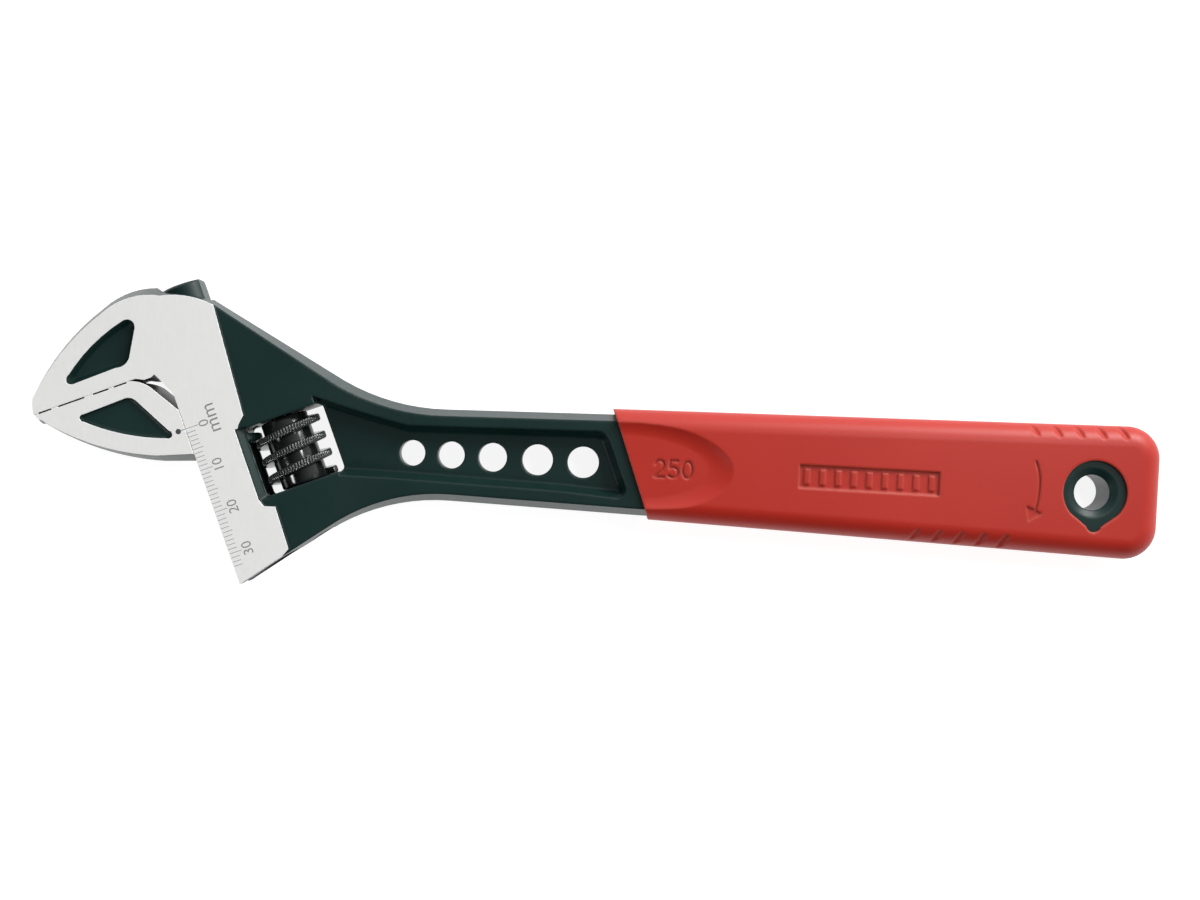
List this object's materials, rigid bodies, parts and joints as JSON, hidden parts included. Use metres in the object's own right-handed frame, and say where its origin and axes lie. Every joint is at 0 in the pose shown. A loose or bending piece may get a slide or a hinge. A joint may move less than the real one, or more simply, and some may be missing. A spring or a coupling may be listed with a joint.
{
  "type": "adjustable wrench",
  "caption": "Adjustable wrench with a worm-driven sliding jaw, a pierced forged shank and a moulded grip sleeve with a hang hole.",
  "frame": {"origin": "centre of the hang hole on the mid-plane", "axes": "+X along the handle towards the jaws, +Y towards the side the jaw opens to, +Z square to the ground faces"},
  "size_m": [0.2589, 0.0688, 0.016],
  "materials": {
    "ground_steel": "satin",
    "painted_steel": "satin",
    "black_oxide_steel": "gloss",
    "spring_steel": "satin",
    "red_sleeve": "satin"
  },
  "bodies": {
    "wrench": {"wrench_body": "painted_steel", "handle_sleeve": "red_sleeve", "worm_pin": "black_oxide_steel", "worm_spring": "spring_steel"},
    "jaw": {"movable_jaw": "ground_steel"},
    "worm": {"worm_screw": "black_oxide_steel"}
  },
  "joints": [
    {"name": "worm_spin", "type": "hinge", "parent": "wrench", "child": "worm", "pos_m": [0.18224, 0.00063, 0], "axis": [0.3827, -0.9239, 0], "range_deg": [0, 2829]},
    {"name": "jaw_slide", "type": "slide", "parent": "wrench", "child": "jaw", "axis": [-0.3827, 0.9239, 0], "range_m": [0, 0.033]}
  ],
  "couplings": [
    {"joint": "worm_spin", "follows": "jaw_slide", "rad_per_m": 1496}
  ]
}
